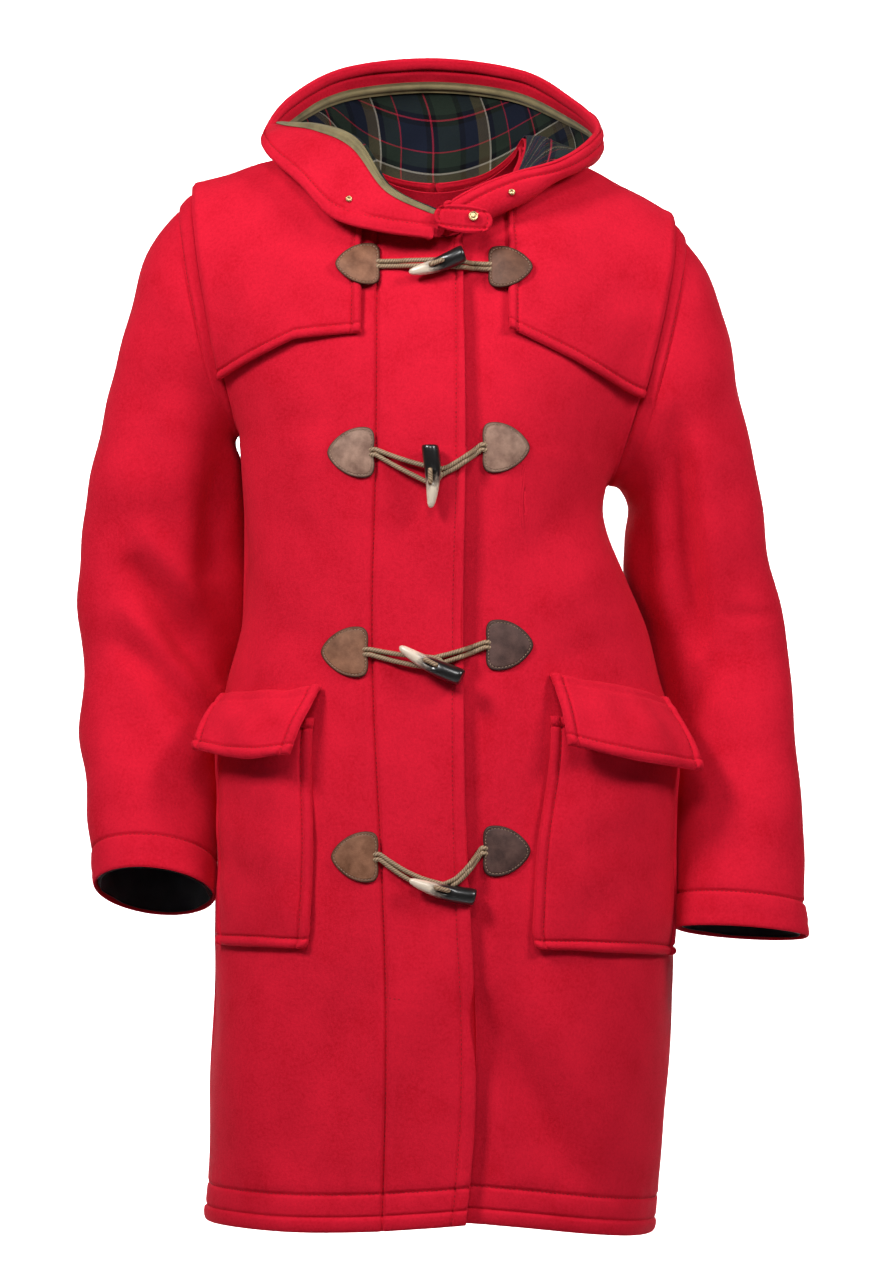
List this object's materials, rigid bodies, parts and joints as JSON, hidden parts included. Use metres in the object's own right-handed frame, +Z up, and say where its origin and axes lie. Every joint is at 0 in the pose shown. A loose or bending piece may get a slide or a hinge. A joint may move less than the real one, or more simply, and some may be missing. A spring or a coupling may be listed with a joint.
{
  "type": "duffle coat",
  "caption": "Knee-length hooded wool coat in its worn, hollow shape, hood down, with storm flaps, patch pockets with flaps, and toggles on leather patches.",
  "frame": {"origin": "between the shoulders at the base of the neck, where the wearer carries the coat", "axes": "+Z up, the front of the coat faces -Y, the wearer's right is -X"},
  "size_m": [0.6526, 0.3585, 1.0668],
  "materials": {
    "wool": "matt brushed wool melton",
    "check_lining": "dark woven check",
    "sleeve_lining": "dark woven lining",
    "binding": "ribbed olive tape",
    "leather": "worn brown leather",
    "horn": "polished horn",
    "cord": "waxed cord",
    "brass": "aged brass"
  },
  "bodies": {
    "root": {"back": "wool", "cuff_lining_left": "sleeve_lining", "cuff_lining_right": "sleeve_lining", "front_left": "wool", "front_right": "wool", "hood_binding": "binding", "hood_facing": "wool", "hood_left": "wool", "hood_lining": "check_lining", "hood_right": "wool", "loop_cord_1": "cord", "loop_cord_2": "cord", "loop_cord_3": "cord", "loop_cord_4": "cord", "patch_left_1": "leather", "patch_left_2": "leather", "patch_left_3": "leather", "patch_left_4": "leather", "patch_right_1": "leather", "patch_right_2": "leather", "patch_right_3": "leather", "patch_right_4": "leather", "pocket_flap_left": "wool", "pocket_flap_right": "wool", "pocket_left": "wool", "pocket_right": "wool", "sleeve_left": "wool", "sleeve_right": "wool", "storm_flap_left": "wool", "storm_flap_right": "wool", "stud_hood_left": "brass", "stud_hood_right": "brass", "stud_tab": "brass", "throat_tab": "wool", "toggle_1": "horn", "toggle_2": "horn", "toggle_3": "horn", "toggle_4": "horn", "toggle_cord_1": "cord", "toggle_cord_2": "cord", "toggle_cord_3": "cord", "toggle_cord_4": "cord"}
  },
  "joints": []
}
